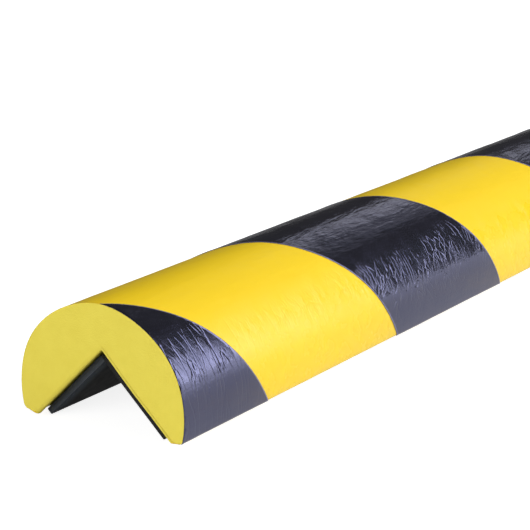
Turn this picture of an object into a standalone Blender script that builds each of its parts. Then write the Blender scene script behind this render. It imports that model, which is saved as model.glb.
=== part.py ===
"""Foam corner guard: a three-quarter-round profile over a right-angled notch.

Metres, +Z up. The guard lies along Y and stands on the tips of its two legs,
with its lowest edge at Z = 0. Its near end is at -Y.
"""
import math

import bmesh
import bpy
from mathutils import Vector

# Foam profile
GUARD_LENGTH = 1.0
OUTER_RADIUS = 0.020
ROUND_STEPS = 40
NOTCH_ANGLE = math.radians(90.0)
LEG_TIP_WIDTH = 0.0030
TIP_OUTER_DROP = 0.0046
TIP_INNER_DROP = 0.0053
TIP_ROUNDING = 0.0005
TIP_ROUNDING_STEPS = 3

# Magnetic strips
STRIP_THICKNESS = 0.0015
STRIP_FAR_SETBACK = 0.0020
LEFT_STRIP_NEAR_SETBACK = 0.0031
LEFT_STRIP_TIP_SETBACK = 0.0
LEFT_STRIP_CORNER_CLEARANCE = 0.0020
RIGHT_STRIP_NEAR_SETBACK = 0.0012
RIGHT_STRIP_TIP_SETBACK = 0.0017
RIGHT_STRIP_CORNER_CLEARANCE = 0.0003

# Black bands
FILM_THICKNESS = 0.0003
BAND_WIDTH = 0.0495
BAND_PITCH = 0.1010
BAND_RISE_PER_ARC = 0.75
FIRST_BAND_FAR_BORDER = 0.0260
BAND_TIP_MARGIN = 0.0006
BAND_LEAST_REACH = 0.0020

# Gap between a piece and the foam that carries it
SEAT_GAP = 0.0003

# Places worked out from the sizes above, measured from the axis of the round
HALF_NOTCH = NOTCH_ANGLE / 2
TIP_OUTER_X = math.sqrt(OUTER_RADIUS ** 2 - TIP_OUTER_DROP ** 2)
TIP_INNER_X = TIP_OUTER_X - LEG_TIP_WIDTH
APEX_RISE = TIP_INNER_X / math.tan(HALF_NOTCH) - TIP_INNER_DROP
NOTCH_FACE_LENGTH = TIP_INNER_X / math.sin(HALF_NOTCH)
ROUND_END_ANGLE = math.asin(TIP_OUTER_DROP / OUTER_RADIUS)
STRIP_FACE_DEPTH = SEAT_GAP + STRIP_THICKNESS
NEAR_END = -GUARD_LENGTH / 2
FAR_END = GUARD_LENGTH / 2

LEFT = -1
RIGHT = 1


def strip_drop(tip_setback):
    """How far a strip's lower outer edge lies below the axis of the round."""
    along = NOTCH_FACE_LENGTH - tip_setback
    return along * math.cos(HALF_NOTCH) + STRIP_FACE_DEPTH * math.sin(HALF_NOTCH) - APEX_RISE


AXIS_HEIGHT = max(
    TIP_INNER_DROP,
    strip_drop(LEFT_STRIP_TIP_SETBACK),
    strip_drop(RIGHT_STRIP_TIP_SETBACK),
)
APEX = Vector((0.0, 0.0, AXIS_HEIGHT + APEX_RISE))
AXIS_CENTRE = Vector((0.0, 0.0, AXIS_HEIGHT))


def clear_scene():
    for item in list(bpy.data.objects):
        bpy.data.objects.remove(item, do_unlink=True)


def principled(name, colour, roughness):
    material = bpy.data.materials.new(name)
    material.use_nodes = True
    shader = material.node_tree.nodes["Principled BSDF"]
    shader.inputs["Base Color"].default_value = (*colour, 1.0)
    shader.inputs["Roughness"].default_value = roughness
    shader.inputs["Metallic"].default_value = 0.0
    return material


def yellow_foam():
    return principled("yellow_foam", (0.956, 0.672, 0.016), 0.38)


def black_film():
    return principled("black_film", (0.021, 0.021, 0.027), 0.32)


def magnet_rubber():
    return principled("magnet_rubber", (0.034, 0.037, 0.044), 0.60)


def add_object(name, mesh_builder, material):
    mesh = bpy.data.meshes.new(name)
    mesh_builder.to_mesh(mesh)
    mesh_builder.free()
    mesh.materials.append(material)
    item = bpy.data.objects.new(name, mesh)
    bpy.context.scene.collection.objects.link(item)
    return item


def point_on_round(radius, angle, y):
    """A point beside the axis, at an angle above +X as seen from the near end."""
    return AXIS_CENTRE + Vector((radius * math.cos(angle), y, radius * math.sin(angle)))


def spin_about_axis(bm, geometry, sweep, rise):
    """Turn the geometry from the right leg over the top to the left leg."""
    bmesh.ops.spin(
        bm,
        geom=geometry,
        cent=AXIS_CENTRE,
        axis=(0.0, -1.0, 0.0),
        angle=sweep,
        steps=ROUND_STEPS,
        dvec=(0.0, rise / ROUND_STEPS, 0.0),
    )


def foam_profile(material):
    """One moulded length: the round, two leg tips and the notch between them."""
    bm = bmesh.new()
    start = bm.verts.new(point_on_round(OUTER_RADIUS, -ROUND_END_ANGLE, NEAR_END))
    spin_about_axis(bm, [start], math.pi + 2 * ROUND_END_ANGLE, 0.0)
    bm.verts.ensure_lookup_table()
    outline = list(bm.verts)
    tip_height = AXIS_HEIGHT - TIP_INNER_DROP
    outline.append(bm.verts.new((-TIP_INNER_X, NEAR_END, tip_height)))
    outline.append(bm.verts.new((0.0, NEAR_END, APEX.z)))
    outline.append(bm.verts.new((TIP_INNER_X, NEAR_END, tip_height)))
    near_face = bm.faces.new(outline)
    extruded = bmesh.ops.extrude_face_region(bm, geom=[near_face])
    far_verts = [item for item in extruded["geom"] if isinstance(item, bmesh.types.BMVert)]
    bmesh.ops.translate(bm, vec=(0.0, GUARD_LENGTH, 0.0), verts=far_verts)
    bmesh.ops.recalc_face_normals(bm, faces=bm.faces)
    bmesh.ops.bevel(
        bm,
        geom=leg_tip_edges(bm),
        offset=TIP_ROUNDING,
        offset_type="OFFSET",
        segments=TIP_ROUNDING_STEPS,
        profile=0.5,
        affect="EDGES",
        material=-1,
    )
    return add_object("foam_profile", bm, material)


def leg_tip_edges(bm):
    """The four long edges at the inner and outer corners of both leg tips."""
    corners = [
        (TIP_OUTER_X, AXIS_HEIGHT - TIP_OUTER_DROP),
        (TIP_INNER_X, AXIS_HEIGHT - TIP_INNER_DROP),
    ]
    return [edge for edge in bm.edges if is_long_edge_at(edge, corners)]


def is_long_edge_at(edge, corners):
    first, second = (vert.co for vert in edge.verts)
    if abs(first.y - second.y) < GUARD_LENGTH / 2:
        return False
    tolerance = TIP_ROUNDING / 10
    return any(
        abs(abs(first.x) - x) < tolerance and abs(first.z - z) < tolerance
        for x, z in corners
    )


def magnet_strip(name, side, near_setback, tip_setback, corner_clearance, material):
    """A flat strip on one face of the notch, placed by its middle."""
    top_edge = STRIP_FACE_DEPTH + corner_clearance
    low_edge = NOTCH_FACE_LENGTH - tip_setback
    near_y = NEAR_END + near_setback
    far_y = FAR_END - STRIP_FAR_SETBACK
    bm = bmesh.new()
    bmesh.ops.create_cube(bm, size=1.0)
    size = (low_edge - top_edge, far_y - near_y, STRIP_THICKNESS)
    bmesh.ops.scale(bm, vec=size, verts=bm.verts)
    item = add_object(name, bm, material)
    down_the_face = Vector((side * math.sin(HALF_NOTCH), 0.0, -math.cos(HALF_NOTCH)))
    off_the_face = Vector((-side * math.cos(HALF_NOTCH), 0.0, -math.sin(HALF_NOTCH)))
    middle = APEX + down_the_face * (top_edge + low_edge) / 2
    middle += off_the_face * (SEAT_GAP + STRIP_THICKNESS / 2)
    middle.y = (near_y + far_y) / 2
    item.location = middle
    item.rotation_euler.y = -side * (math.pi / 2 + HALF_NOTCH)
    return item


def black_band(name, far_border, material):
    """A slanting film over the round, made by a rising spin and trimmed at both ends."""
    radius = OUTER_RADIUS + SEAT_GAP
    start_angle = -ROUND_END_ANGLE + BAND_TIP_MARGIN / OUTER_RADIUS
    sweep = math.pi - 2 * start_angle
    far_y = far_border - BAND_RISE_PER_ARC * OUTER_RADIUS * start_angle
    bm = bmesh.new()
    near_vert = bm.verts.new(point_on_round(radius, start_angle, far_y - BAND_WIDTH))
    far_vert = bm.verts.new(point_on_round(radius, start_angle, far_y))
    edge = bm.edges.new((near_vert, far_vert))
    rise = -BAND_RISE_PER_ARC * OUTER_RADIUS * sweep
    spin_about_axis(bm, [near_vert, far_vert, edge], sweep, rise)
    for end_y, outward in ((NEAR_END, -1.0), (FAR_END, 1.0)):
        bmesh.ops.bisect_plane(
            bm,
            geom=bm.verts[:] + bm.edges[:] + bm.faces[:],
            plane_co=(0.0, end_y, 0.0),
            plane_no=(0.0, outward, 0.0),
            clear_outer=True,
        )
    face_outwards(bm)
    item = add_object(name, bm, material)
    film = item.modifiers.new("film", "SOLIDIFY")
    film.thickness = FILM_THICKNESS
    film.offset = 1.0
    return item


def face_outwards(bm):
    """Turn every face of an open sheet away from the axis of the round."""
    bm.normal_update()
    for face in bm.faces:
        outward = face.calc_center_median() - AXIS_CENTRE
        outward.y = 0.0
        if face.normal.dot(outward) < 0.0:
            face.normal_flip()


def black_bands(material):
    """Every band whose slanting field reaches into the guard's length."""
    arc_to_left_tip = OUTER_RADIUS * (math.pi + ROUND_END_ANGLE)
    far_border = NEAR_END + FIRST_BAND_FAR_BORDER
    count = 0
    bands = []
    while far_border - BAND_WIDTH - BAND_RISE_PER_ARC * arc_to_left_tip < FAR_END - BAND_LEAST_REACH:
        count += 1
        bands.append(black_band(f"black_band_{count:02d}", far_border, material))
        far_border += BAND_PITCH
    return bands


def shade_round_pieces(items):
    for item in items:
        item.data.shade_smooth()
        item.data.set_sharp_from_angle(angle=math.radians(30.0))


def build():
    clear_scene()
    profile = foam_profile(yellow_foam())
    rubber = magnet_rubber()
    magnet_strip(
        "magnet_strip_left",
        LEFT,
        LEFT_STRIP_NEAR_SETBACK,
        LEFT_STRIP_TIP_SETBACK,
        LEFT_STRIP_CORNER_CLEARANCE,
        rubber,
    )
    magnet_strip(
        "magnet_strip_right",
        RIGHT,
        RIGHT_STRIP_NEAR_SETBACK,
        RIGHT_STRIP_TIP_SETBACK,
        RIGHT_STRIP_CORNER_CLEARANCE,
        rubber,
    )
    bands = black_bands(black_film())
    shade_round_pieces([profile, *bands])


build()
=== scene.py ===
# %% [markdown]
# # A foam corner guard
#
# This guard is pressed over the square edge of a rack, a machine or a conveyor, so that nobody gets
# hurt on the edge. On the real object one length of soft foam is moulded with its own glossy yellow
# skin. Slanting black films lie on the skin, and two flexible magnetic strips in the notch hold the
# guard on the steel.
#
# The solids are loaded first, as a fixed frame. Everything here is in metres. The guard lies along Y,
# its near end is at -Y, and it stands on Z = 0.

# %% Load the frame
import math

import bmesh
import bpy
from mathutils import Matrix, Vector, noise


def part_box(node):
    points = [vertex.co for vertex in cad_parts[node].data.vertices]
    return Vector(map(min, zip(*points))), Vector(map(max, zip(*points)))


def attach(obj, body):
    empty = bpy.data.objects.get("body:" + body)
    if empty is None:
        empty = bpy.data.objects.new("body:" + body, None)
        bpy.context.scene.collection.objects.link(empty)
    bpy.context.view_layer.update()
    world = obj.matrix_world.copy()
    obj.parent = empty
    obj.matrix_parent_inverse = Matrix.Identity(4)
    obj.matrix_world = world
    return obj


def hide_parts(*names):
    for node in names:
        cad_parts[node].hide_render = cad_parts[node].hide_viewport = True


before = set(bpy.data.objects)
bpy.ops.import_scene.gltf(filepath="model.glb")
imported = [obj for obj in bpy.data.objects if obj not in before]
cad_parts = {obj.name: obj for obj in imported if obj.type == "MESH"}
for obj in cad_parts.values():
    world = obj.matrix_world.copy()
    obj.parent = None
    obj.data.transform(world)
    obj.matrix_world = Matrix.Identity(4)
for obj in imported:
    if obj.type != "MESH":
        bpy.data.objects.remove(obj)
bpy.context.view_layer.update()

BODY = "root"
BAND_NODES = sorted(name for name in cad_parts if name.startswith("black_band_"))
print("solids:", len(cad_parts), "of which bands:", len(BAND_NODES))

# %% [markdown]
# ## Sizes
#
# The places of all pieces come from the solids, so that nothing has to be fitted. The axis of the round
# lies one radius below its highest line.

# %% Read the sizes from the solids
foam_low, foam_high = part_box("foam_profile")
NEAR_END = foam_low.y
FAR_END = foam_high.y
LENGTH = FAR_END - NEAR_END
RADIUS = 0.020
AXIS_HEIGHT = foam_high.z - RADIUS
NOTCH_RISE = 0.011164
LEFT = -1
RIGHT = 1
print(f"axis {AXIS_HEIGHT * 1000:.2f} mm up, notch top {(AXIS_HEIGHT + NOTCH_RISE) * 1000:.2f} mm up")
print(f"length {LENGTH * 1000:.1f} mm")

# %% [markdown]
# ## Camera
#
# The camera stands low at the near end and looks along the guard from the right. Its place and lens
# were worked out from the round of the cut face and from the two long edges, which run together in the
# distance.

# %% Set up the camera
CAMERA_PLACE = (0.22760, -0.78178, 0.13664)
CAMERA_AZIMUTH = math.radians(33.87)
CAMERA_ELEVATION = math.radians(15.84)
CAMERA_LENS = 133.90

camera_data = bpy.data.cameras.new("camera")
camera_data.lens = CAMERA_LENS
camera_data.sensor_width = 36.0
camera_data.clip_start = 0.01
camera_data.clip_end = 100.0
camera = bpy.data.objects.new("camera", camera_data)
bpy.context.scene.collection.objects.link(camera)
camera.location = CAMERA_PLACE
camera.rotation_euler = (math.pi / 2 - CAMERA_ELEVATION, 0.0, CAMERA_AZIMUTH)
bpy.context.scene.camera = camera
print("camera at", [round(value, 3) for value in camera.location])

# %% [markdown]
# ## Formulas as shader nodes
#
# A finish is a formula: so much gloss here, a fold of so many hundredths of a millimetre there. Nodes
# can be wired one by one, but a formula is easier to read. The first class below wraps one output, so
# that a sum on two of them adds the Math node. Every other node comes from one method of the second.

# %% Wrap one output of a node
class Wire:
    """One output of a node. A sum or a product of wires adds the Math node for it."""

    def __init__(self, graph, item, output=0):
        self.graph = graph
        self.item = item
        self.socket = item.outputs[output] if item.outputs else None

    def output(self, name):
        return Wire(self.graph, self.item, name)

    def math(self, operation, first, *rest):
        inputs = dict(enumerate((first, *rest)))
        return self.graph.node("ShaderNodeMath", {"operation": operation}, inputs)

    def __add__(self, other):
        return self.math("ADD", self, other)

    __radd__ = __add__

    def __sub__(self, other):
        return self.math("SUBTRACT", self, other)

    def __rsub__(self, other):
        return self.math("SUBTRACT", other, self)

    def __mul__(self, other):
        return self.math("MULTIPLY", self, other)

    __rmul__ = __mul__

    def __truediv__(self, other):
        return self.math("DIVIDE", self, other)

    def __rtruediv__(self, other):
        return self.math("DIVIDE", other, self)

    def __pow__(self, exponent):
        return self.math("POWER", self, exponent)

    def __rpow__(self, base):
        return self.math("POWER", base, self)

    def size(self):
        return self.math("ABSOLUTE", self)

    def larger(self, other):
        return self.math("MAXIMUM", self, other)

    def wave(self):
        """A wave that is 1 at 0 and at every full turn."""
        return self.math("COSINE", self)

    def angle_from_up(self, up):
        """The angle at which this much sideways and that much up lie, counted from straight up."""
        return self.math("ARCTAN2", self, up)


print("a wire can be added, subtracted, multiplied, divided and raised to a power")


# %% Add the other nodes by name
class Graph:
    """The node tree of a material or a world, filled node by node."""

    def __init__(self, owner):
        owner.use_nodes = True
        self.owner = owner
        self.tree = owner.node_tree
        self.tree.nodes.clear()

    def node(self, kind, settings=None, inputs=None):
        item = self.tree.nodes.new(kind)
        for name, value in (settings or {}).items():
            setattr(item, name, value)
        for name, value in (inputs or {}).items():
            if isinstance(value, Wire):
                self.tree.links.new(value.socket, item.inputs[name])
            else:
                item.inputs[name].default_value = value
        return Wire(self, item)

    def vector(self, x, y, z=0.0):
        return self.node("ShaderNodeCombineXYZ", None, {0: x, 1: y, 2: z})

    def noise(self, place, scale=1.0, detail=2.0, roughness=0.5):
        inputs = {"Vector": place, "Scale": scale, "Detail": detail, "Roughness": roughness}
        return self.node("ShaderNodeTexNoise", {"noise_dimensions": "3D"}, inputs)

    def ramp(self, value, low, high, to_low=0.0, to_high=1.0):
        inputs = {0: value, 1: low, 2: high, 3: to_low, 4: to_high}
        return self.node("ShaderNodeMapRange", {"interpolation_type": "SMOOTHSTEP"}, inputs)

    def mix(self, factor, first, second):
        inputs = {0: factor, 6: first, 7: second}
        return self.node("ShaderNodeMix", {"data_type": "RGBA"}, inputs).output(2)

    def bump(self, height):
        """A Bump node whose height is in metres."""
        return self.node("ShaderNodeBump", None, {"Height": height, "Distance": 1.0, "Strength": 1.0})

    def finish(self, shader, kind="ShaderNodeOutputMaterial"):
        self.node(kind, None, {"Surface": shader})
        return self.owner


print("a graph adds noise, ramps, colour mixes and bumps")

# %% [markdown]
# ## The leg tips
#
# Each leg ends in a flat sole. The left sole lies a little lower and its corner is rounder than the
# right one, as on the cut face in the photograph. The corners could be typed in as points, but the foam
# and the films both need them, so a small class works them out once for each leg.

# %% Describe the leg tips
class LegTip:
    """The end of one leg. Drops are measured down from the axis of the round."""

    def __init__(self, side, outer_drop, inner_drop, outer_rounding, inner_rounding):
        self.side = side
        self.end_angle = math.pi / 2 + math.asin(outer_drop / RADIUS)
        outer_across = RADIUS * math.sin(self.end_angle)
        inner_across = NOTCH_RISE + inner_drop
        self.outer = Vector((side * outer_across, NEAR_END, AXIS_HEIGHT - outer_drop))
        self.inner = Vector((side * inner_across, NEAR_END, AXIS_HEIGHT - inner_drop))
        self.outer_rounding = outer_rounding
        self.inner_rounding = inner_rounding
        sole_angle = math.atan2(inner_drop - outer_drop, inner_across - outer_across)
        self.fillet = outer_rounding / math.tan((sole_angle - self.end_angle) / 2)
        self.fillet_start = RADIUS * self.end_angle - outer_rounding


RIGHT_TIP = LegTip(
    RIGHT, outer_drop=0.0046, inner_drop=0.0053, outer_rounding=0.0005, inner_rounding=0.0004
)
LEFT_TIP = LegTip(
    LEFT, outer_drop=0.0050, inner_drop=0.00554, outer_rounding=0.0010, inner_rounding=0.0005
)
for leg_tip in (RIGHT_TIP, LEFT_TIP):
    print(f"sole at {leg_tip.inner.z * 1000:.2f} mm, corner radius {leg_tip.fillet * 1000:.2f} mm")

# %% [markdown]
# ## The skin, laid out flat
#
# A moulded skin is easiest to describe on a flat sheet: `around` is the way over the round, counted
# from its top, and `along` is the way along the guard. The same two numbers place the foam's skin, the
# black films and every fold, so the folds run on from the yellow into the black as they do on the real
# guard. Past the round the sheet bends over the corner of the leg tip.

# %% Describe the skin
# Of each wave: height, length around, length along and seed.
WAVES = (
    (0.000060, 0.016, 0.011, 3.0),
    (0.000025, 0.0080, 0.0045, 17.0),
)
SHOULDER_FULLNESS = 0.00022
SHOULDER_PLACE = math.radians(63.0)
SHOULDER_SPREAD = math.radians(18.0)
CROWN_FLATNESS = 0.00016
CROWN_PLACE = math.radians(24.0)
CROWN_SPREAD = math.radians(16.0)


def hump(angle, place, spread):
    """A soft hump at the same place on both sides of the top."""
    return math.exp(-(((abs(angle) - place) / spread) ** 2))


def skin_rise(around, along):
    """How far the skin stands out from a perfect round."""
    angle = around / RADIUS
    rise = SHOULDER_FULLNESS * hump(angle, SHOULDER_PLACE, SHOULDER_SPREAD)
    rise -= CROWN_FLATNESS * hump(angle, CROWN_PLACE, CROWN_SPREAD)
    for height, length_around, length_along, seed in WAVES:
        rise += height * noise.noise(Vector((around / length_around, along / length_along, seed)))
    return rise


def on_skin(around, along, lift=0.0):
    """The point of the skin at a place of the flat sheet."""
    tip = RIGHT_TIP if around > 0.0 else LEFT_TIP
    on_round = min(abs(around), tip.fillet_start)
    angle = on_round / RADIUS
    turned = angle + (abs(around) - on_round) / tip.fillet
    to_fillet = RADIUS + skin_rise(tip.side * on_round, along) - tip.fillet
    from_fillet = tip.fillet + lift
    across = to_fillet * math.sin(angle) + from_fillet * math.sin(turned)
    up = to_fillet * math.cos(angle) + from_fillet * math.cos(turned)
    return Vector((tip.side * across, along, AXIS_HEIGHT + up))


print("skin at the top, near end:", [round(value * 1000, 2) for value in on_skin(0.0, NEAR_END)])

# %% [markdown]
# ## The foam profile
#
# The real profile is moulded as one length and then cut square. It could be a cylinder with the notch
# taken out of it, but such a cut leaves uneven faces. So its section is drawn once: a spin makes the
# round, three points add the notch, and vertex bevels soften the tips.

# %% Draw the section
ROUND_STEPS = 60
NOTCH_CUTS = 3
TIP_SEGMENTS = 4


def round_corner(bm, corner, rounding):
    bmesh.ops.bevel(
        bm,
        geom=[corner],
        offset=rounding,
        offset_type="OFFSET",
        segments=TIP_SEGMENTS,
        profile=0.5,
        affect="VERTICES",
        material=-1,
    )


def draw_section(bm):
    """The outline of the section at the near end, as a closed ring of edges."""
    right_outer = bm.verts.new(RIGHT_TIP.outer)
    bmesh.ops.spin(
        bm,
        geom=[right_outer],
        cent=(0.0, 0.0, AXIS_HEIGHT),
        axis=(0.0, -1.0, 0.0),
        angle=RIGHT_TIP.end_angle + LEFT_TIP.end_angle,
        steps=ROUND_STEPS,
    )
    bm.verts.ensure_lookup_table()
    left_outer = bm.verts[-1]
    left_inner = bm.verts.new(LEFT_TIP.inner)
    apex = bm.verts.new((0.0, NEAR_END, AXIS_HEIGHT + NOTCH_RISE))
    right_inner = bm.verts.new(RIGHT_TIP.inner)
    bm.faces.new(bm.verts[:])
    round_corner(bm, left_outer, LEFT_TIP.outer_rounding)
    round_corner(bm, left_inner, LEFT_TIP.inner_rounding)
    round_corner(bm, right_outer, RIGHT_TIP.outer_rounding)
    round_corner(bm, right_inner, RIGHT_TIP.inner_rounding)
    bmesh.ops.delete(bm, geom=bm.faces[:], context="FACES_ONLY")
    notch_edges = [edge for edge in bm.edges if apex in edge.verts]
    bmesh.ops.subdivide_edges(bm, edges=notch_edges, cuts=NOTCH_CUTS)


section = bmesh.new()
draw_section(section)
print("points of the section:", len(section.verts))
section.free()

# %% [markdown]
# ## The lip of the notch
#
# Where the foam was cut, nothing holds it back, so it swells a little into the notch and the edge of
# the cut is round. It is less than a millimetre, but it gives the notch its soft edge in the
# photograph. It could be sculpted by hand, but a formula can be read and changed, so one function moves
# the points of the first three millimetres.

# %% Shape the lip of the notch
LIP_SWELL = {LEFT: 0.00078, RIGHT: 0.00040}
LIP_ROUNDING = 0.0010
LIP_REACH = 0.0030
LIP_DEPTH = 0.0015
LIP_RINGS = (0.00012, 0.0003, 0.0005, 0.00075, 0.0010, 0.0014, 0.0019, 0.0024, 0.0030)
LIP_CUTBACK_DEPTH = 0.0020
RIGHT_LIP_FADE_START = 0.010
RIGHT_LIP_FADE = 0.011
MIDDLE_TOLERANCE = 0.000001


def smooth_fall(value):
    """1 at 0, 0 from 1 on, and level at both ends."""
    rest = 1.0 - min(1.0, max(0.0, value))
    return rest * rest * (3.0 - 2.0 * rest)


def shape_lip(vert):
    """At a cut end the soft foam swells into the notch a little, and the edge of the cut is round."""
    from_end = min(vert.co.y - NEAR_END, FAR_END - vert.co.y)
    if from_end >= LIP_REACH:
        return
    from_apex = vert.co - Vector((0.0, vert.co.y, AXIS_HEIGHT + NOTCH_RISE))
    sides = [side for side in (LEFT, RIGHT) if side * vert.co.x > -MIDDLE_TOLERANCE]
    rest = max(0.0, 1.0 - from_end / LIP_ROUNDING)
    cutback = LIP_ROUNDING * (1.0 - math.sqrt(1.0 - rest * rest))
    for side in sides:
        into_notch = Vector((-side, 0.0, -1.0)).normalized()
        depth = max(0.0, -from_apex.dot(into_notch))
        swell = LIP_SWELL[side] * smooth_fall(from_end / LIP_REACH) * smooth_fall(depth / LIP_DEPTH)
        if side == RIGHT:
            swell *= smooth_fall((from_apex.length - RIGHT_LIP_FADE_START) / RIGHT_LIP_FADE)
        cut = cutback * max(0.0, 1.0 - depth / LIP_CUTBACK_DEPTH)
        vert.co += into_notch * (swell - cut)


print(f"lip: {LIP_SWELL[LEFT] * 1000:.2f} mm on the left, {LIP_SWELL[RIGHT] * 1000:.2f} mm on the right")

# %% [markdown]
# ## Pulling the section into a length
#
# The outline is pulled along the guard and divided into steps of a millimetre, which leaves enough
# points for the unevenness of the skin. Finer steps could carry the folds too, but over a metre of
# length they would be millions of faces, so the folds are left to the finish. Rings close together at
# both ends carry the lip. Both cut ends get a fine chamfer and a ring as wide as the skin is thick.

# %% Close a cut end
CHAMFER = 0.00012
SKIN_THICKNESS = 0.00040
CUT_FACE_SLOT = 1


def close_end(bm, ring, inward):
    """Fills a cut end, chamfers its edge and leaves a ring that shows the skin."""
    face = bmesh.ops.contextual_create(bm, geom=ring)["faces"][0]
    face.material_index = CUT_FACE_SLOT
    rim = list(face.verts)
    bmesh.ops.inset_region(bm, faces=[face], thickness=CHAMFER)
    bmesh.ops.translate(bm, vec=(0.0, inward * CHAMFER, 0.0), verts=rim)
    bmesh.ops.inset_region(bm, faces=[face], thickness=SKIN_THICKNESS)


print(f"chamfer {CHAMFER * 1000:.2f} mm, skin {SKIN_THICKNESS * 1000:.2f} mm thick")

# %% Follow the skin
SKIN_GRIP = 0.0012


def follow_skin(vert):
    """Moves a point of the round out to the uneven skin, and less the deeper it lies."""
    across = vert.co.x
    up = vert.co.z - AXIS_HEIGHT
    angle = math.atan2(across, up)
    depth = RADIUS - math.hypot(across, up)
    grip = max(0.0, 1.0 - depth / SKIN_GRIP)
    rise = grip * skin_rise(angle * RADIUS, vert.co.y)
    vert.co += Vector((math.sin(angle), 0.0, math.cos(angle))) * rise


print(f"the unevenness ends {SKIN_GRIP * 1000:.1f} mm below the skin")


# %% Sort and cut a whole mesh
def edges_of(geometry):
    return [item for item in geometry if isinstance(item, bmesh.types.BMEdge)]


def verts_of(geometry):
    return [item for item in geometry if isinstance(item, bmesh.types.BMVert)]


def cut_flat(bm, point, normal, clear=False):
    """Cuts the whole mesh along a plane. With clear, what lies beyond the plane goes."""
    bmesh.ops.bisect_plane(
        bm,
        geom=bm.verts[:] + bm.edges[:] + bm.faces[:],
        plane_co=point,
        plane_no=normal,
        clear_outer=clear,
    )


print("a flat cut adds a ring of points")

# %% Find the long steps and the faces of the notch
FACE_TOLERANCE = 0.0001


def is_long_step(edge):
    """True for an edge along the guard that is longer than the steps between the lip's rings."""
    return abs(edge.verts[0].co.y - edge.verts[1].co.y) > LIP_REACH / 2


def in_notch(point):
    """True for a point on one of the two faces of the notch."""
    below_apex = AXIS_HEIGHT + NOTCH_RISE - point.z
    return abs(abs(point.x) - below_apex) < FACE_TOLERANCE


print(f"steps over {LIP_REACH / 2 * 1000:.1f} mm are divided")

# %% Pull the section along the guard
LENGTH_CUTS = (9, 99)


def foam_mesh():
    """The whole foam profile, with the bare foam of its cut faces and notch in the second slot."""
    bm = bmesh.new()
    draw_section(bm)
    near_ring = bm.edges[:]
    pulled = bmesh.ops.extrude_edge_only(bm, edges=near_ring)["geom"]
    far_ring = edges_of(pulled)
    bmesh.ops.translate(bm, vec=(0.0, LENGTH, 0.0), verts=verts_of(pulled))
    for ring in LIP_RINGS:
        cut_flat(bm, (0.0, NEAR_END + ring, 0.0), (0.0, 1.0, 0.0))
        cut_flat(bm, (0.0, FAR_END - ring, 0.0), (0.0, 1.0, 0.0))
    for cuts in LENGTH_CUTS:
        steps = [edge for edge in bm.edges if is_long_step(edge)]
        bmesh.ops.subdivide_edges(bm, edges=steps, cuts=cuts, use_grid_fill=True)
    for face in bm.faces:
        if in_notch(face.calc_center_median()):
            face.material_index = CUT_FACE_SLOT
    close_end(bm, near_ring, 1.0)
    close_end(bm, far_ring, -1.0)
    for vert in bm.verts:
        follow_skin(vert)
        shape_lip(vert)
    bmesh.ops.recalc_face_normals(bm, faces=bm.faces)
    return bm


foam_builder = foam_mesh()
print("points of the foam profile:", len(foam_builder.verts))


# %% Turn a builder mesh into a piece
def add_piece(name, bm, materials, nodes, smooth_angle=35.0):
    """Makes a piece: its object stays at the origin and rides on the guard's body."""
    mesh = bpy.data.meshes.new(name)
    bm.to_mesh(mesh)
    bm.free()
    for material in materials:
        mesh.materials.append(material)
    mesh.shade_smooth()
    mesh.set_sharp_from_angle(angle=math.radians(smooth_angle))
    piece = bpy.data.objects.new(name, mesh)
    bpy.context.scene.collection.objects.link(piece)
    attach(piece, BODY)
    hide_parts(*nodes)
    print(name, "faces:", len(mesh.polygons))
    return piece


print("pieces ride on:", BODY)

# %% [markdown]
# ## Finish of the foam
#
# The skin shrinks as the foam cools, so it is full of thin folds. Near the cut end most of them run
# straight down over the round, a few millimetres apart and up to a centimetre long. Further on they are
# short and lean both ways, and so by turns along the guard. On top the skin is drawn out lengthwise.
# Between the folds it swells a little, and the left side is calmer than the right. All of this is too
# fine for the mesh, so it is a bump, with its height given in metres. The cut face and the notch show
# the bare foam: paler, matt, with tiny closed cells.

# %% Places on the skin, for shaders
NOISE_MIDDLE = 0.5
NOISE_SPAN = (0.2, 0.8)


def skin_place(graph):
    """The two numbers of the flat sheet, worked out from the object's own coordinates."""
    position = graph.node("ShaderNodeTexCoord").output("Object")
    parts = graph.node("ShaderNodeSeparateXYZ", None, {0: position})
    up = parts.output("Z") - AXIS_HEIGHT
    around = parts.output("X").angle_from_up(up) * RADIUS
    return around, parts.output("Y")


def skin_noise(graph, around, along, scales, seed, detail=2.0, roughness=0.5):
    """Noise on the flat sheet. Its two scales say how often it changes in a metre around and along."""
    scale_around, scale_along = scales
    place = graph.vector(around * scale_around, along * scale_along, seed)
    return graph.noise(place, detail=detail, roughness=roughness)


print(f"the flat sheet is {RADIUS * (RIGHT_TIP.end_angle + LEFT_TIP.end_angle) * 1000:.1f} mm wide")

# %% Folds of the skin
BEND_SCALES = (320.0, 320.0)
BEND_SEED = 5.0
BEND_AROUND = 0.4
FOLD_SHARPNESS = 1.2
UPRIGHT = {"length": 0.0120, "spacing": 0.0019, "lean": 0.05, "waver": 0.35, "seed": 13.0}
LEANING = {"length": 0.0046, "spacing": 0.0020, "lean": 0.42, "waver": 0.7, "seed": 7.0}
CROSSING = {"length": 0.0042, "spacing": 0.0022, "lean": -0.36, "waver": 0.7, "seed": 29.0}


def folds(graph, around, along, width, length, spacing, lean, waver, seed):
    """Thin folds, as contour lines of a stretched noise: 1 on the fold, 0 beside it."""
    bend = skin_noise(graph, around, along, BEND_SCALES, seed + BEND_SEED) - NOISE_MIDDLE
    place = graph.vector(
        around / length + bend * BEND_AROUND,
        (along - around * lean) / spacing + bend * waver,
        seed,
    )
    field = graph.noise(place, detail=0.6)
    line = 1.0 - (field * 2.0 - 1.0).size() / width
    return line.larger(0.0) ** FOLD_SHARPNESS


for name, kind in (("upright", UPRIGHT), ("leaning", LEANING), ("crossing", CROSSING)):
    print(f"{name} folds: {kind['length'] * 1000:.1f} mm long, {kind['spacing'] * 1000:.1f} mm apart")

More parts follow.
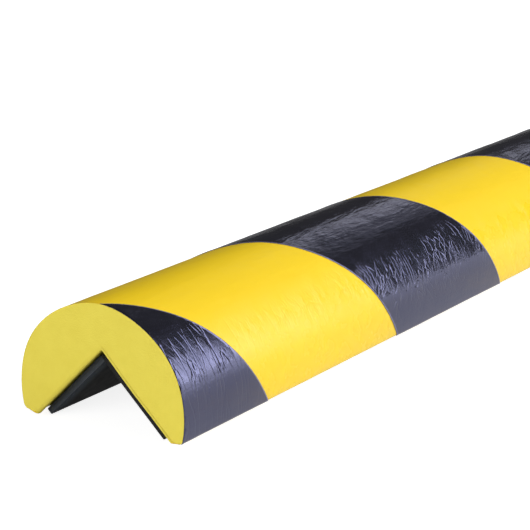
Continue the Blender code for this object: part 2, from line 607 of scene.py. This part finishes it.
# %% Where the folds run straight down
FOLD_CHANGE = 0.168
UPRIGHT_PLACE = 0.006
UPRIGHT_SPAN = (-0.6, 0.6)


def upright_share(graph, along):
    """How much the folds run straight down: most near the cut end, less further on, and so forth."""
    turn = (along - NEAR_END - UPRIGHT_PLACE) * (2.0 * math.pi / FOLD_CHANGE)
    return graph.ramp(turn.wave(), *UPRIGHT_SPAN)


print(f"the folds change every {FOLD_CHANGE * 1000:.0f} mm along the guard")

# %% Where the folds are strong
PATCH_SCALES = (130.0, 110.0)
PATCH_SPAN = (0.40, 0.60)
CALM_LEFT = (-0.016, -0.008)


def patches(graph, around, along, seed, least=0.05):
    """Where the folds are strong and where they fade, over a centimetre or less."""
    field = skin_noise(graph, around, along, PATCH_SCALES, seed)
    return graph.ramp(field, *PATCH_SPAN, least, 1.0)


def calm_left(graph, around, least):
    """The left side of the skin is calmer: down there its folds fade to the least share."""
    return graph.ramp(around, *CALM_LEFT, least, 1.0)


print(f"the calm side starts {-CALM_LEFT[1] * 1000:.0f} mm left of the top")

# %% How the folds change from the top to the soles
SWAY_SCALES = (30.0, 75.0)
SWAY_ANGLE = math.radians(26.0)
FOLDS_START = (math.radians(42.0), math.radians(54.0))
FOLDS_ON_TOP = 0.08
FOLDS_STOP = (math.radians(70.0), math.radians(96.0))
FOLDS_LOW_DOWN = 0.34
FOLDS_ON_LEFT = 0.5
TOP_END = (math.radians(32.0), math.radians(50.0))
LENGTHWISE_BELOW_TOP = 0.2


def on_the_sides(graph, around, along):
    """Folds are deepest half way down each side, and shallow on top and near the soles."""
    sway = skin_noise(graph, around, along, SWAY_SCALES, seed=67.0) - NOISE_MIDDLE
    way_down = around.size() / RADIUS + sway * SWAY_ANGLE
    start = graph.ramp(way_down, *FOLDS_START, FOLDS_ON_TOP, 1.0)
    stop = graph.ramp(way_down, *FOLDS_STOP, 1.0, FOLDS_LOW_DOWN)
    return start * stop * calm_left(graph, around, FOLDS_ON_LEFT)


def on_the_top(graph, around):
    """Lengthwise folds belong to the top, and fade down the sides."""
    return graph.ramp(around.size() / RADIUS, *TOP_END, 1.0, LENGTHWISE_BELOW_TOP)


print("folds start", [round(math.degrees(angle)) for angle in FOLDS_START], "degrees down from the top")

# %% Swelling between the folds
STRETCH_SCALES = (560.0, 110.0)
DRIFT_SCALES = (240.0, 240.0)
SWELL_SCALES = (215.0, 385.0)
SWELL_LEAN = 0.12
SWELL_WAVER = 2.4


def stretched_skin(graph, around, along):
    """Fine relief that is drawn out along the guard."""
    return skin_noise(graph, around, along, STRETCH_SCALES, seed=23.0, detail=3.0, roughness=0.6)


def swollen_skin(graph, around, along):
    """Soft, slightly leaning swellings, a few millimetres wide."""
    scale_around, scale_along = SWELL_SCALES
    drift = skin_noise(graph, around, along, DRIFT_SCALES, seed=61.0) - NOISE_MIDDLE
    slanting = (along - around * SWELL_LEAN) * scale_along
    place = graph.vector(around * scale_around + drift, slanting + drift * SWELL_WAVER, 53.0)
    return graph.noise(place) - NOISE_MIDDLE


print(f"swellings: {1000 / SWELL_SCALES[0]:.1f} mm down and {1000 / SWELL_SCALES[1]:.1f} mm along")

# %% Relief of the skin
MOST_UNTANGLED = 0.80
LEAST_UPRIGHT = 0.35
MORE_UPRIGHT = 0.90
UPRIGHT_LEAST_PATCH = 0.60
LEANING_DEPTH = 0.95
CROSSING_DEPTH = 0.85


def skin_bump(graph, around, along, down, width, lengthwise, swell):
    """The fine relief of the skin, with the depth of each kind of fold in metres."""
    straight = upright_share(graph, along)
    upright_depth = straight * MORE_UPRIGHT + LEAST_UPRIGHT
    tangled = (1.0 - straight * MOST_UNTANGLED) * calm_left(graph, around, 0.0)
    upright = folds(graph, around, along, width, **UPRIGHT)
    upright = upright * patches(graph, around, along, seed=43.0, least=UPRIGHT_LEAST_PATCH)
    leaning = folds(graph, around, along, width, **LEANING) * patches(graph, around, along, seed=41.0)
    crossing = folds(graph, around, along, width, **CROSSING) * patches(graph, around, along, seed=47.0)
    swollen = swollen_skin(graph, around, along) * patches(graph, around, along, seed=59.0)
    height = upright * upright_depth * -down
    height = height - leaning * tangled * (down * LEANING_DEPTH)
    height = height - crossing * tangled * (down * CROSSING_DEPTH)
    height = height + swollen * swell
    height = height * on_the_sides(graph, around, along)
    height = height + stretched_skin(graph, around, along) * on_the_top(graph, around) * lengthwise
    return graph.bump(height)


print(f"upright folds are up to {LEAST_UPRIGHT + MORE_UPRIGHT:.2f} times as deep as a material says")

# %% Yellow skin
YELLOW_DARKER = (0.885, 0.602, 0.005, 1.0)
YELLOW_LIGHTER = (0.915, 0.640, 0.009, 1.0)
YELLOW_CLOUDS = (45.0, 30.0)
YELLOW_SPECKS = (260.0, 260.0)
YELLOW_ROUGHNESS = (0.22, 0.31)
DULL_TOP = 0.16
DULL_TOP_END = (math.radians(34.0), math.radians(66.0))


def yellow_skin():
    graph = Graph(bpy.data.materials.new("yellow_skin"))
    around, along = skin_place(graph)
    cloud = skin_noise(graph, around, along, YELLOW_CLOUDS, seed=11.0, detail=3.0, roughness=0.55)
    speck = skin_noise(graph, around, along, YELLOW_SPECKS, seed=19.0)
    dull_top = graph.ramp(around.size() / RADIUS, *DULL_TOP_END, DULL_TOP, 0.0)
    relief = skin_bump(
        graph, around, along, down=0.000010, width=0.12, lengthwise=0.000090, swell=0.000165
    )
    shader = graph.node("ShaderNodeBsdfPrincipled", None, {
        "Base Color": graph.mix(cloud, YELLOW_DARKER, YELLOW_LIGHTER),
        "Roughness": graph.ramp(speck, *NOISE_SPAN, *YELLOW_ROUGHNESS) + dull_top,
        "Specular IOR Level": 0.48,
        "Normal": relief,
    })
    return graph.finish(shader)


yellow_material = yellow_skin()
print("nodes of the yellow skin:", len(yellow_material.node_tree.nodes))

# %% Bare foam of the cut faces and the notch
FOAM_DARKER = (0.80, 0.665, 0.082, 1.0)
FOAM_LIGHTER = (0.88, 0.75, 0.108, 1.0)
CELLS_PER_METRE = 3200.0
CELL_HEIGHT = 0.000045
MOTTLE_HEIGHT = 0.00010


def bare_foam():
    graph = Graph(bpy.data.materials.new("bare_foam"))
    position = graph.node("ShaderNodeTexCoord").output("Object")
    cell_inputs = {"Vector": position, "Scale": CELLS_PER_METRE}
    cells = graph.node("ShaderNodeTexVoronoi", {"feature": "F1"}, cell_inputs)
    mottle = graph.noise(position, scale=260.0, detail=3.0, roughness=0.6)
    height = cells.output("Distance") * CELL_HEIGHT + mottle * MOTTLE_HEIGHT
    shader = graph.node("ShaderNodeBsdfPrincipled", None, {
        "Base Color": graph.mix(mottle, FOAM_DARKER, FOAM_LIGHTER),
        "Roughness": 0.92,
        "Specular IOR Level": 0.25,
        "Normal": graph.bump(height),
    })
    return graph.finish(shader)


bare_material = bare_foam()
print("nodes of the bare foam:", len(bare_material.node_tree.nodes))

# %% Make the foam profile
foam_materials = [yellow_material, bare_material]
foam = add_piece("foam_body", foam_builder, foam_materials, ["foam_profile"])

# %% [markdown]
# ## The black films
#
# Each black band is a thin film that was cut on the slant and laid over the skin. It could be a mask in
# the foam's colour, but the real border stands up a little and catches the light, which shows in the
# photograph as a thin pale line. That border is raised here too, and a painted highlight in the film's
# colour makes the line pale. So each film starts as a flat grid, is cut along its borders, is sheared to
# its slant and is then wrapped round the same skin that the foam has. The first film was not laid quite
# straight: it curves back over the top, so it gets a bend before it is wrapped.

# %% Read the bands from the solids
BAND_LEAN = 0.75
BAND_TIP_MARGIN = 0.0006
SOLID_REACH = RADIUS * RIGHT_TIP.end_angle - BAND_TIP_MARGIN


def band_far_side(name):
    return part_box(name)[1].y


BAND_PITCH = band_far_side("black_band_03") - band_far_side("black_band_02")
BAND_WIDTH = (
    band_far_side("black_band_02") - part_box("black_band_02")[0].y - 2 * BAND_LEAN * SOLID_REACH
)
SECOND_BAND_AT_TOP = band_far_side("black_band_02") - BAND_LEAN * SOLID_REACH
print(f"band pitch {BAND_PITCH * 1000:.1f} mm, width {BAND_WIDTH * 1000:.1f} mm")

# %% Cut and shear one film
FILM_STEPS_AROUND = 90
FILM_STEPS_ACROSS = 58
FILM_TURN = math.radians(56.0)
TURN_CUTS = 4
BORDER_LOOPS = (0.00012, 0.00028, 0.00050)
BORDER_PLACE = 0.00016
BORDER_SPREAD = 0.00014
BEND_START = 0.0175
FIRST_FILM_BEND = 9.5


def flat_film(far_side_at_top, bend):
    """One film on the flat sheet, with x as around and y as along. A bend curves it over the top."""
    right_reach = RIGHT_TIP.fillet_start + FILM_TURN * RIGHT_TIP.fillet
    left_reach = LEFT_TIP.fillet_start + FILM_TURN * LEFT_TIP.fillet
    bm = bmesh.new()
    bmesh.ops.create_grid(bm, x_segments=FILM_STEPS_AROUND, y_segments=FILM_STEPS_ACROSS, size=0.5)
    bmesh.ops.scale(bm, vec=(right_reach + left_reach, BAND_WIDTH, 1.0), verts=bm.verts)
    bmesh.ops.translate(bm, vec=((right_reach - left_reach) / 2, 0.0, 0.0), verts=bm.verts)
    for inset in BORDER_LOOPS:
        for side in (-1.0, 1.0):
            cut_flat(bm, (0.0, side * (BAND_WIDTH / 2 - inset), 0.0), (0.0, side, 0.0))
    for tip in (RIGHT_TIP, LEFT_TIP):
        for cut in range(TURN_CUTS):
            place = tip.fillet_start + FILM_TURN * tip.fillet * cut / TURN_CUTS
            cut_flat(bm, (tip.side * place, 0.0, 0.0), (1.0, 0.0, 0.0))
    from_border = bm.verts.layers.float.new("from_border")
    for vert in bm.verts:
        vert[from_border] = BAND_WIDTH / 2 - abs(vert.co.y)
        vert.co.y += far_side_at_top - BAND_WIDTH / 2 + BAND_LEAN * vert.co.x
        vert.co.y -= bend * max(0.0, BEND_START - vert.co.x) ** 2
    cut_flat(bm, (0.0, NEAR_END, 0.0), (0.0, -1.0, 0.0), clear=True)
    cut_flat(bm, (0.0, FAR_END, 0.0), (0.0, 1.0, 0.0), clear=True)
    return bm, from_border


print(f"a film leans {BAND_LEAN * 100:.0f} mm along the guard for each 100 mm around it")

# %% Wrap a film round the skin
FILM_LIFT = 0.00004
FILM_THICKNESS = 0.00006
BORDER_HEIGHT = 0.00005
LEAST_LIFT = 0.3
SETTLE_WIDTH = 0.002
# Height, length around, length along and seed of the film's own waves.
FILM_WAVES = (0.000020, 0.0060, 0.0024, 71.0)
WAVE_TROUGH = 0.5


def face_outwards(bm):
    """Turns every face of an open sheet away from the axis of the round."""
    bm.normal_update()
    for face in bm.faces:
        middle = face.calc_center_median()
        if face.normal.dot(Vector((middle.x, 0.0, middle.z - AXIS_HEIGHT))) < 0.0:
            face.normal_flip()


def film_mesh(far_side_at_top, bend):
    """One film, wrapped. Its border attribute is 1 on the raised lines and 0 elsewhere."""
    bm, from_border = flat_film(far_side_at_top, bend)
    border = bm.verts.layers.float.new("border")
    height, length_around, length_along, seed = FILM_WAVES
    for vert in bm.verts:
        around = vert.co.x
        along = vert.co.y
        distance = vert[from_border]
        raised = math.exp(-(((distance - BORDER_PLACE) / BORDER_SPREAD) ** 2))
        vert[border] = raised
        wave = noise.noise(Vector((around / length_around, along / length_along, seed)))
        settled = min(1.0, distance / SETTLE_WIDTH)
        lift = FILM_LIFT * min(1.0, LEAST_LIFT + distance / BORDER_LOOPS[0])
        lift += BORDER_HEIGHT * raised + height * settled * (wave + WAVE_TROUGH) / (1.0 + WAVE_TROUGH)
        vert.co = on_skin(around, along, lift)
    bm.verts.layers.float.remove(from_border)
    face_outwards(bm)
    return bm


print(f"film {FILM_THICKNESS * 1000:.2f} mm thick, its border {BORDER_HEIGHT * 1000:.2f} mm up")

# %% Film material
FILM_DARKER = (0.0085, 0.0085, 0.0105, 1.0)
FILM_LIGHTER = (0.0135, 0.013, 0.018, 1.0)
# The lavender on the raised border is a painted highlight, mixed into the film's colour.
BORDER_HIGHLIGHT_COLOUR = (0.24, 0.22, 0.36, 1.0)
BORDER_HIGHLIGHT_SHARE = 0.85
FILM_CLOUDS = (60.0, 45.0)
FILM_SPECKS = (300.0, 300.0)
FILM_ROUGHNESS = (0.13, 0.21)
FILM_TINT = (0.51, 0.535, 1.0, 1.0)


def black_film():
    graph = Graph(bpy.data.materials.new("black_film"))
    around, along = skin_place(graph)
    border = graph.node("ShaderNodeAttribute", {"attribute_name": "border"}).output("Fac")
    cloud = skin_noise(graph, around, along, FILM_CLOUDS, seed=31.0, detail=3.0, roughness=0.6)
    field = graph.mix(cloud, FILM_DARKER, FILM_LIGHTER)
    speck = skin_noise(graph, around, along, FILM_SPECKS, seed=37.0)
    relief = skin_bump(
        graph, around, along, down=0.000040, width=0.075, lengthwise=0.000220, swell=0.000040
    )
    shader = graph.node("ShaderNodeBsdfPrincipled", None, {
        # The pale line along each border is a painted highlight in the base colour.
        "Base Color": graph.mix(border * BORDER_HIGHLIGHT_SHARE, field, BORDER_HIGHLIGHT_COLOUR),
        "Roughness": graph.ramp(speck, *NOISE_SPAN, *FILM_ROUGHNESS),
        "IOR": 1.65,
        "Specular IOR Level": 1.0,
        "Specular Tint": FILM_TINT,
        "Normal": relief,
    })
    return graph.finish(shader)


film_material = black_film()
print("nodes of the film:", len(film_material.node_tree.nodes))

# %% Lay the films on the skin
FILM_SMOOTH_ANGLE = 60.0

for number, node in enumerate(BAND_NODES, start=1):
    far_side_at_top = SECOND_BAND_AT_TOP + (number - 2) * BAND_PITCH
    bend = FIRST_FILM_BEND if number == 1 else 0.0
    film_builder = film_mesh(far_side_at_top, bend)
    film_name = f"film_band_{number:02d}"
    film = add_piece(film_name, film_builder, [film_material], [node], FILM_SMOOTH_ANGLE)
    wall = film.modifiers.new("film", "SOLIDIFY")
    wall.thickness = FILM_THICKNESS
    wall.offset = 1.0

# %% [markdown]
# ## The magnetic strips
#
# The strips are dark rubber filled with magnet powder, pushed out through a slot and cut with shears.
# So their long edges are a little rounded, their faces carry fine lines along their length and their
# ends are not quite square. A plain box would show none of that, so the box is divided along its length,
# bevelled, pulled a little askew and turned onto its face of the notch. Near the end of the left strip,
# the rubber's colour is paler and bluish: a painted highlight where the front light reaches into the
# notch.

# %% Shape a strip
STRIP_THICKNESS = 0.0015
STRIP_EDGE_ROUNDING = 0.00022
STRIP_PIECES = 160
STRIP_WAVE = 0.00010
STRIP_WAVE_LENGTH = 0.045
STRIP_WAVE_SEED = 5.0
SHARP_CORNER = math.radians(60.0)
ASKEW_REACH = 0.03
NOTCH_FACE_TURN = -0.75 * math.pi


def strip_mesh(node, side, inset_low, inset_high):
    """A strip in its place on one face of the notch. Its near end is cut askew: it lies further in
    by inset_low at the leg tip and by inset_high at the top of the notch."""
    low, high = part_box(node)
    width = (high.x - low.x) * math.sqrt(2.0) - STRIP_THICKNESS
    bm = bmesh.new()
    bmesh.ops.create_cube(bm, size=1.0)
    bmesh.ops.scale(bm, vec=(width, high.y - low.y, STRIP_THICKNESS), verts=bm.verts)
    long_edges = [edge for edge in bm.edges if edge.calc_length() > LENGTH / 2]
    bmesh.ops.subdivide_edges(bm, edges=long_edges, cuts=STRIP_PIECES, use_grid_fill=True)
    corner_edges = [edge for edge in bm.edges if edge.calc_face_angle() > SHARP_CORNER]
    bmesh.ops.bevel(
        bm,
        geom=corner_edges,
        offset=STRIP_EDGE_ROUNDING,
        offset_type="OFFSET",
        segments=2,
        profile=0.5,
        affect="EDGES",
        material=-1,
    )
    near_edge = -(high.y - low.y) / 2
    for vert in bm.verts:
        up_the_face = 0.5 + vert.co.x / width
        reach = max(0.0, 1.0 - (vert.co.y - near_edge) / ASKEW_REACH)
        place = Vector((vert.co.x / width, vert.co.y / STRIP_WAVE_LENGTH, STRIP_WAVE_SEED + side))
        vert.co.y += (inset_low + (inset_high - inset_low) * up_the_face) * reach
        vert.co.x += STRIP_WAVE * noise.noise(place)
    bmesh.ops.rotate(bm, matrix=Matrix.Rotation(NOTCH_FACE_TURN, 3, "Y"), verts=bm.verts)
    bmesh.ops.scale(bm, vec=(side, 1.0, 1.0), verts=bm.verts)
    bmesh.ops.translate(bm, vec=(low + high) / 2, verts=bm.verts)
    bmesh.ops.recalc_face_normals(bm, faces=bm.faces)
    return bm


print(f"a strip is {STRIP_THICKNESS * 1000:.1f} mm thick")

# %% Magnet rubber
# The pale, bluish zone near the left strip's near end is a painted highlight: front light reaching into
# the notch, painted into the rubber's colour.
CUT_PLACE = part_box("magnet_strip_left")[0].y
CUT_EDGE = 0.0008
PAINTED_LIGHT_AT_CUT = 0.75
PAINTED_LIGHT_END = NEAR_END + 0.0076
PAINTED_LIGHT_FADE = (PAINTED_LIGHT_END - 0.0026, PAINTED_LIGHT_END + 0.0016)
MIDDLE_FADE = (-0.0005, 0.0005)
RUBBER_DARK = ((0.012, 0.012, 0.012, 1.0), (0.022, 0.022, 0.022, 1.0))
RUBBER_PAINTED_LIGHT = ((0.050, 0.060, 0.074, 1.0), (0.110, 0.124, 0.146, 1.0))
RUBBER_ROUGHNESS = (0.60, 0.80)
PAINTED_LIGHT_WOBBLE = 0.0012
LINES_ACROSS = 2600.0
LINES_ALONG = 25.0
LINE_HEIGHT = 0.00003
DUST_HEIGHT = 0.00002


def magnet_rubber():
    graph = Graph(bpy.data.materials.new("magnet_rubber"))
    position = graph.node("ShaderNodeTexCoord").output("Object")
    parts = graph.node("ShaderNodeSeparateXYZ", None, {0: position})
    across = parts.output("X")
    along = parts.output("Y")
    up = parts.output("Z")
    line_place = graph.vector(across * LINES_ACROSS, along * LINES_ALONG, up * LINES_ACROSS)
    lines = graph.noise(line_place, roughness=0.6)
    dust = graph.noise(position, scale=420.0, detail=4.0, roughness=0.65)
    painted_light_wobble = graph.noise(position, scale=300.0, detail=3.0, roughness=0.6) * PAINTED_LIGHT_WOBBLE
    # Painted highlight: paler, bluish colour near the left strip's near end, a little less on the cut
    # end itself.
    painted_light_mask = graph.ramp(along + painted_light_wobble, *PAINTED_LIGHT_FADE, 1.0, 0.0)
    painted_light_mask = painted_light_mask * graph.ramp(along, CUT_PLACE, CUT_PLACE + CUT_EDGE, PAINTED_LIGHT_AT_CUT, 1.0)
    painted_light_mask = painted_light_mask * graph.ramp(across, *MIDDLE_FADE, 1.0, 0.0)
    shader = graph.node("ShaderNodeBsdfPrincipled", None, {
        "Base Color": graph.mix(painted_light_mask, graph.mix(dust, *RUBBER_DARK), graph.mix(dust, *RUBBER_PAINTED_LIGHT)),
        "Roughness": graph.ramp(dust, *NOISE_SPAN, *RUBBER_ROUGHNESS),
        "Specular IOR Level": 0.10,
        "Normal": graph.bump(lines * LINE_HEIGHT + dust * DUST_HEIGHT),
    })
    return graph.finish(shader)


rubber = magnet_rubber()
print("nodes of the rubber:", len(rubber.node_tree.nodes))

# %% Put the strips in the notch
# Of each strip: side, name, and how far its near end is set in at the leg tip and at the notch's top.
STRIP_ENDS = ((LEFT, "left", 0.0, 0.0003), (RIGHT, "right", 0.00036, -0.00034))

for side, name, inset_low, inset_high in STRIP_ENDS:
    node = f"magnet_strip_{name}"
    strip_builder = strip_mesh(node, side, inset_low, inset_high)
    add_piece(f"{name}_strip", strip_builder, [rubber], [node])

# %% [markdown]
# ## Floor, world and lamps
#
# The studio is a white floor and one very large soft panel at the right, with a dimmer skirt below it.
# The panel's left edge stands just beside what the near film mirrors, and that is what breaks up in
# the film's folds. A softer light from the front fills the cut face, and two narrow panels behind draw
# the streak on top.
#
# A glossy black film shows the floor too. So the floor glows for mirrored rays: brightest in the pool
# of light at the right, and dim on the left, where the real studio had little light.

# %% Finish of the floor
FLOOR_WHITE = 0.6
FLOOR_GLOW = 0.85
FLOOR_CLOSE_GLOSS = 0.46
FLOOR_NEAR_GLOSS = 0.62
NEAR_EDGE = (0.04, 0.10)
POOL_GLOSS = 0.98
POOL_START = (0.08, 0.50)
POOL_EDGE = (math.radians(31.0), math.radians(41.0))
POOL_DIMMEST = 0.28
DIM_SIDE_EDGE = (-0.02, 0.02)
DIM_SIDE_LIGHT = 0.24
WHITE = (1.0, 1.0, 1.0, 1.0)
NEAR_PART = Vector((0.018, -0.48, 0.012))


def white_floor():
    """White for the camera, and dim on the left for what the guard's far side mirrors."""
    graph = Graph(bpy.data.materials.new("white_floor"))
    rays = graph.node("ShaderNodeLightPath")
    mirrored = rays.output("Is Glossy Ray")
    seen = rays.output("Is Camera Ray").larger(rays.output("Is Transmission Ray"))
    position = graph.node("ShaderNodeTexCoord").output("Object")
    parts = graph.node("ShaderNodeSeparateXYZ", None, {0: position})
    across = parts.output("X")
    azimuth = (across - NEAR_PART.x).angle_from_up(parts.output("Y") - NEAR_PART.y)
    gloss = graph.ramp(across, *NEAR_EDGE, FLOOR_CLOSE_GLOSS, FLOOR_NEAR_GLOSS)
    pool = graph.ramp(across, *POOL_START, 0.0, POOL_GLOSS)
    gloss = gloss + pool * graph.ramp(azimuth, *POOL_EDGE, POOL_DIMMEST, 1.0)
    seen = seen.larger(mirrored * gloss)
    dim_side = graph.ramp(across, *DIM_SIDE_EDGE, 1.0, 0.0) * mirrored
    below = graph.node("ShaderNodeNewGeometry").output("Backfacing")
    plain = (FLOOR_WHITE, FLOOR_WHITE, FLOOR_WHITE, 1.0)
    lit = graph.node("ShaderNodeBsdfDiffuse", None, {"Color": plain})
    glow = graph.node("ShaderNodeEmission", None, {"Color": WHITE, "Strength": seen * FLOOR_GLOW})
    white = graph.node("ShaderNodeAddShader", None, {0: lit, 1: glow})
    dim = graph.node("ShaderNodeEmission", None, {"Color": WHITE, "Strength": DIM_SIDE_LIGHT})
    above = graph.node("ShaderNodeMixShader", None, {0: dim_side, 1: white, 2: dim})
    open_below = graph.node("ShaderNodeBsdfTransparent")
    return graph.finish(graph.node("ShaderNodeMixShader", None, {0: below, 1: above, 2: open_below}))


floor_material = white_floor()
print("nodes of the floor:", len(floor_material.node_tree.nodes))

# %% Make the floor
FLOOR_RADIUS = 1.5

floor_builder = bmesh.new()
bmesh.ops.create_circle(floor_builder, cap_ends=True, segments=96, radius=FLOOR_RADIUS)
floor_mesh = bpy.data.meshes.new("floor")
floor_builder.to_mesh(floor_mesh)
floor_builder.free()
floor_mesh.materials.append(floor_material)
floor = bpy.data.objects.new("floor", floor_mesh)
bpy.context.scene.collection.objects.link(floor)
print("floor radius", FLOOR_RADIUS, "m")

# %% World
WORLD_LIGHT = 0.14
WORLD_MIRRORED = 0.05

world = bpy.data.worlds.new("studio")
bpy.context.scene.world = world
world_graph = Graph(world)
world_rays = world_graph.node("ShaderNodeLightPath")
world_seen = world_rays.output("Is Camera Ray").larger(world_rays.output("Is Transmission Ray"))
world_glossy = world_rays.output("Is Glossy Ray") * (WORLD_MIRRORED - WORLD_LIGHT)
world_strength = world_seen * (1.0 - WORLD_LIGHT) + world_glossy + WORLD_LIGHT
backdrop = world_graph.node("ShaderNodeBackground", None, {"Color": WHITE, "Strength": world_strength})
world_graph.finish(backdrop, "ShaderNodeOutputWorld")
print("world light", WORLD_LIGHT)

# %% Lamps
def panel(name, azimuth, distance, low, high, width, brightness, roll):
    """A soft light panel. Azimuth 0 is straight ahead along the guard, and 90 is to its right.
    A rolled panel leans its top to the left, as the guard sees it. Brightness 1 is a white surface."""
    data = bpy.data.lights.new(name, "AREA")
    data.shape = "RECTANGLE"
    data.size = width
    data.size_y = high - low
    data.energy = brightness * math.pi * width * (high - low)
    lamp = bpy.data.objects.new(name, data)
    turn = math.radians(azimuth)
    lamp.location = NEAR_PART + Vector((math.sin(turn) * distance, math.cos(turn) * distance, 0.0))
    lamp.location.z = (low + high) / 2
    towards = Vector((-math.sin(turn), -math.cos(turn), 0.0))
    facing = towards.to_track_quat("-Z", "Y").to_matrix()
    lamp.rotation_euler = (facing @ Matrix.Rotation(math.radians(-roll), 3, "Z")).to_euler()
    lamp.visible_camera = False
    bpy.context.scene.collection.objects.link(lamp)
    print(f"{name}: {data.energy:.0f} W, azimuth {azimuth:.0f} degrees")


# Of each panel: name, azimuth, distance, lowest and highest height, width, brightness and roll.
PANELS = (
    ("right_panel", 62.0, 2.0, 0.44, 2.9, 2.33, 5.0, 12.0),
    ("right_skirt", 62.0, 2.1, 0.0, 0.30, 2.2, 2.1, 0.0),
    ("front_panel", 188.0, 2.5, 0.10, 1.60, 2.6, 4.4, 0.0),
    ("back_panel", -17.5, 2.5, 1.08, 1.54, 0.58, 1.0, 0.0),
    ("upper_panel", -4.5, 2.5, 1.34, 1.76, 0.66, 0.30, 0.0),
)

for settings in PANELS:
    panel(*settings)

# %% [markdown]
# ## Picture and last steps
#
# The plain view transform shows each colour about as it is written.

# %% Picture settings
bpy.context.scene.view_settings.view_transform = "Standard"
print("view transform:", bpy.context.scene.view_settings.view_transform)
